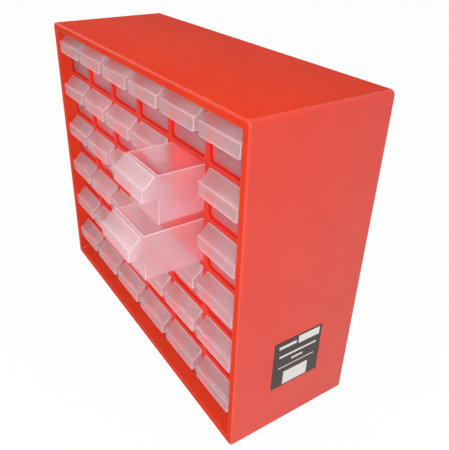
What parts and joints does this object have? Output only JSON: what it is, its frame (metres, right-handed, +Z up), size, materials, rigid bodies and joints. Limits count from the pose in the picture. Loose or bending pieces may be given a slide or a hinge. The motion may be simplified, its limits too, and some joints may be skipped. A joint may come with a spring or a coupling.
{
  "type": "parts bin cabinet",
  "caption": "Bench-top cabinet for small parts: a shallow moulded casing with a grid of see-through pull-out drawers, each with a hooded label front and finger grip.",
  "frame": {"origin": "centre of the casing's base", "axes": "+Z up, -Y out of the front, the way the drawers open, +X to the right seen from the front"},
  "size_m": [0.4052, 0.207, 0.336],
  "materials": {
    "casing_red": "satin injection-moulded polystyrene",
    "drawer_clear": "milky see-through polypropylene",
    "screw_steel": "zinc plated",
    "side_label": null
  },
  "bodies": {
    "cabinet": {"casing": "casing_red", "drawer_grid": "casing_red", "back_panel": "casing_red", "back_screws": "screw_steel", "side_label": "side_label", "shelf_1": "casing_red", "shelf_2": "casing_red", "shelf_3": "casing_red", "shelf_4": "casing_red", "shelf_5": "casing_red", "divider_1": "casing_red", "divider_2": "casing_red", "divider_3": "casing_red", "divider_4": "casing_red", "divider_5": "casing_red"},
    "drawer_r1_c1": {"drawer_r1_c1": "drawer_clear"},
    "drawer_r1_c2": {"drawer_r1_c2": "drawer_clear"},
    "drawer_r1_c3": {"drawer_r1_c3": "drawer_clear"},
    "drawer_r1_c4": {"drawer_r1_c4": "drawer_clear"},
    "drawer_r1_c5": {"drawer_r1_c5": "drawer_clear"},
    "drawer_r1_c6": {"drawer_r1_c6": "drawer_clear"},
    "drawer_r2_c1": {"drawer_r2_c1": "drawer_clear"},
    "drawer_r2_c2": {"drawer_r2_c2": "drawer_clear"},
    "drawer_r2_c3": {"drawer_r2_c3": "drawer_clear"},
    "drawer_r2_c4": {"drawer_r2_c4": "drawer_clear"},
    "drawer_r2_c5": {"drawer_r2_c5": "drawer_clear"},
    "drawer_r2_c6": {"drawer_r2_c6": "drawer_clear"},
    "drawer_r3_c1": {"drawer_r3_c1": "drawer_clear"},
    "drawer_r3_c2": {"drawer_r3_c2": "drawer_clear"},
    "drawer_r3_c3": {"drawer_r3_c3": "drawer_clear"},
    "drawer_r3_c4": {"drawer_r3_c4": "drawer_clear"},
    "drawer_r3_c5": {"drawer_r3_c5": "drawer_clear"},
    "drawer_r3_c6": {"drawer_r3_c6": "drawer_clear"},
    "drawer_r4_c1": {"drawer_r4_c1": "drawer_clear"},
    "drawer_r4_c2": {"drawer_r4_c2": "drawer_clear"},
    "drawer_r4_c3": {"drawer_r4_c3": "drawer_clear"},
    "drawer_r4_c4": {"drawer_r4_c4": "drawer_clear"},
    "drawer_r4_c5": {"drawer_r4_c5": "drawer_clear"},
    "drawer_r4_c6": {"drawer_r4_c6": "drawer_clear"},
    "drawer_r5_c1": {"drawer_r5_c1": "drawer_clear"},
    "drawer_r5_c2": {"drawer_r5_c2": "drawer_clear"},
    "drawer_r5_c3": {"drawer_r5_c3": "drawer_clear"},
    "drawer_r5_c4": {"drawer_r5_c4": "drawer_clear"},
    "drawer_r5_c5": {"drawer_r5_c5": "drawer_clear"},
    "drawer_r5_c6": {"drawer_r5_c6": "drawer_clear"},
    "drawer_r6_c1": {"drawer_r6_c1": "drawer_clear"},
    "drawer_r6_c2": {"drawer_r6_c2": "drawer_clear"},
    "drawer_r6_c3": {"drawer_r6_c3": "drawer_clear"},
    "drawer_r6_c4": {"drawer_r6_c4": "drawer_clear"},
    "drawer_r6_c5": {"drawer_r6_c5": "drawer_clear"},
    "drawer_r6_c6": {"drawer_r6_c6": "drawer_clear"}
  },
  "joints": [
    {"name": "slide_r1_c1", "type": "slide", "parent": "cabinet", "child": "drawer_r1_c1", "axis": [0, -1, 0], "range_m": [0, 0.118]},
    {"name": "slide_r1_c2", "type": "slide", "parent": "cabinet", "child": "drawer_r1_c2", "axis": [0, -1, 0], "range_m": [0, 0.118]},
    {"name": "slide_r1_c3", "type": "slide", "parent": "cabinet", "child": "drawer_r1_c3", "axis": [0, -1, 0], "range_m": [0, 0.118]},
    {"name": "slide_r1_c4", "type": "slide", "parent": "cabinet", "child": "drawer_r1_c4", "axis": [0, -1, 0], "range_m": [0, 0.118]},
    {"name": "slide_r1_c5", "type": "slide", "parent": "cabinet", "child": "drawer_r1_c5", "axis": [0, -1, 0], "range_m": [0, 0.118]},
    {"name": "slide_r1_c6", "type": "slide", "parent": "cabinet", "child": "drawer_r1_c6", "axis": [0, -1, 0], "range_m": [0, 0.118]},
    {"name": "slide_r2_c1", "type": "slide", "parent": "cabinet", "child": "drawer_r2_c1", "axis": [0, -1, 0], "range_m": [0, 0.118]},
    {"name": "slide_r2_c2", "type": "slide", "parent": "cabinet", "child": "drawer_r2_c2", "axis": [0, -1, 0], "range_m": [0, 0.118]},
    {"name": "slide_r2_c3", "type": "slide", "parent": "cabinet", "child": "drawer_r2_c3", "axis": [0, -1, 0], "range_m": [0, 0.118]},
    {"name": "slide_r2_c4", "type": "slide", "parent": "cabinet", "child": "drawer_r2_c4", "axis": [0, -1, 0], "range_m": [0, 0.118]},
    {"name": "slide_r2_c5", "type": "slide", "parent": "cabinet", "child": "drawer_r2_c5", "axis": [0, -1, 0], "range_m": [-0.0485, 0.0695]},
    {"name": "slide_r2_c6", "type": "slide", "parent": "cabinet", "child": "drawer_r2_c6", "axis": [0, -1, 0], "range_m": [0, 0.118]},
    {"name": "slide_r3_c1", "type": "slide", "parent": "cabinet", "child": "drawer_r3_c1", "axis": [0, -1, 0], "range_m": [0, 0.118]},
    {"name": "slide_r3_c2", "type": "slide", "parent": "cabinet", "child": "drawer_r3_c2", "axis": [0, -1, 0], "range_m": [0, 0.118]},
    {"name": "slide_r3_c3", "type": "slide", "parent": "cabinet", "child": "drawer_r3_c3", "axis": [0, -1, 0], "range_m": [0, 0.118]},
    {"name": "slide_r3_c4", "type": "slide", "parent": "cabinet", "child": "drawer_r3_c4", "axis": [0, -1, 0], "range_m": [0, 0.118]},
    {"name": "slide_r3_c5", "type": "slide", "parent": "cabinet", "child": "drawer_r3_c5", "axis": [0, -1, 0], "range_m": [-0.0635, 0.0545]},
    {"name": "slide_r3_c6", "type": "slide", "parent": "cabinet", "child": "drawer_r3_c6", "axis": [0, -1, 0], "range_m": [0, 0.118]},
    {"name": "slide_r4_c1", "type": "slide", "parent": "cabinet", "child": "drawer_r4_c1", "axis": [0, -1, 0], "range_m": [0, 0.118]},
    {"name": "slide_r4_c2", "type": "slide", "parent": "cabinet", "child": "drawer_r4_c2", "axis": [0, -1, 0], "range_m": [0, 0.118]},
    {"name": "slide_r4_c3", "type": "slide", "parent": "cabinet", "child": "drawer_r4_c3", "axis": [0, -1, 0], "range_m": [0, 0.118]},
    {"name": "slide_r4_c4", "type": "slide", "parent": "cabinet", "child": "drawer_r4_c4", "axis": [0, -1, 0], "range_m": [0, 0.118]},
    {"name": "slide_r4_c5", "type": "slide", "parent": "cabinet", "child": "drawer_r4_c5", "axis": [0, -1, 0], "range_m": [0, 0.118]},
    {"name": "slide_r4_c6", "type": "slide", "parent": "cabinet", "child": "drawer_r4_c6", "axis": [0, -1, 0], "range_m": [0, 0.118]},
    {"name": "slide_r5_c1", "type": "slide", "parent": "cabinet", "child": "drawer_r5_c1", "axis": [0, -1, 0], "range_m": [0, 0.118]},
    {"name": "slide_r5_c2", "type": "slide", "parent": "cabinet", "child": "drawer_r5_c2", "axis": [0, -1, 0], "range_m": [0, 0.118]},
    {"name": "slide_r5_c3", "type": "slide", "parent": "cabinet", "child": "drawer_r5_c3", "axis": [0, -1, 0], "range_m": [0, 0.118]},
    {"name": "slide_r5_c4", "type": "slide", "parent": "cabinet", "child": "drawer_r5_c4", "axis": [0, -1, 0], "range_m": [0, 0.118]},
    {"name": "slide_r5_c5", "type": "slide", "parent": "cabinet", "child": "drawer_r5_c5", "axis": [0, -1, 0], "range_m": [0, 0.118]},
    {"name": "slide_r5_c6", "type": "slide", "parent": "cabinet", "child": "drawer_r5_c6", "axis": [0, -1, 0], "range_m": [0, 0.118]},
    {"name": "slide_r6_c1", "type": "slide", "parent": "cabinet", "child": "drawer_r6_c1", "axis": [0, -1, 0], "range_m": [0, 0.118]},
    {"name": "slide_r6_c2", "type": "slide", "parent": "cabinet", "child": "drawer_r6_c2", "axis": [0, -1, 0], "range_m": [0, 0.118]},
    {"name": "slide_r6_c3", "type": "slide", "parent": "cabinet", "child": "drawer_r6_c3", "axis": [0, -1, 0], "range_m": [0, 0.118]},
    {"name": "slide_r6_c4", "type": "slide", "parent": "cabinet", "child": "drawer_r6_c4", "axis": [0, -1, 0], "range_m": [0, 0.118]},
    {"name": "slide_r6_c5", "type": "slide", "parent": "cabinet", "child": "drawer_r6_c5", "axis": [0, -1, 0], "range_m": [0, 0.118]},
    {"name": "slide_r6_c6", "type": "slide", "parent": "cabinet", "child": "drawer_r6_c6", "axis": [0, -1, 0], "range_m": [0, 0.118]}
  ]
}
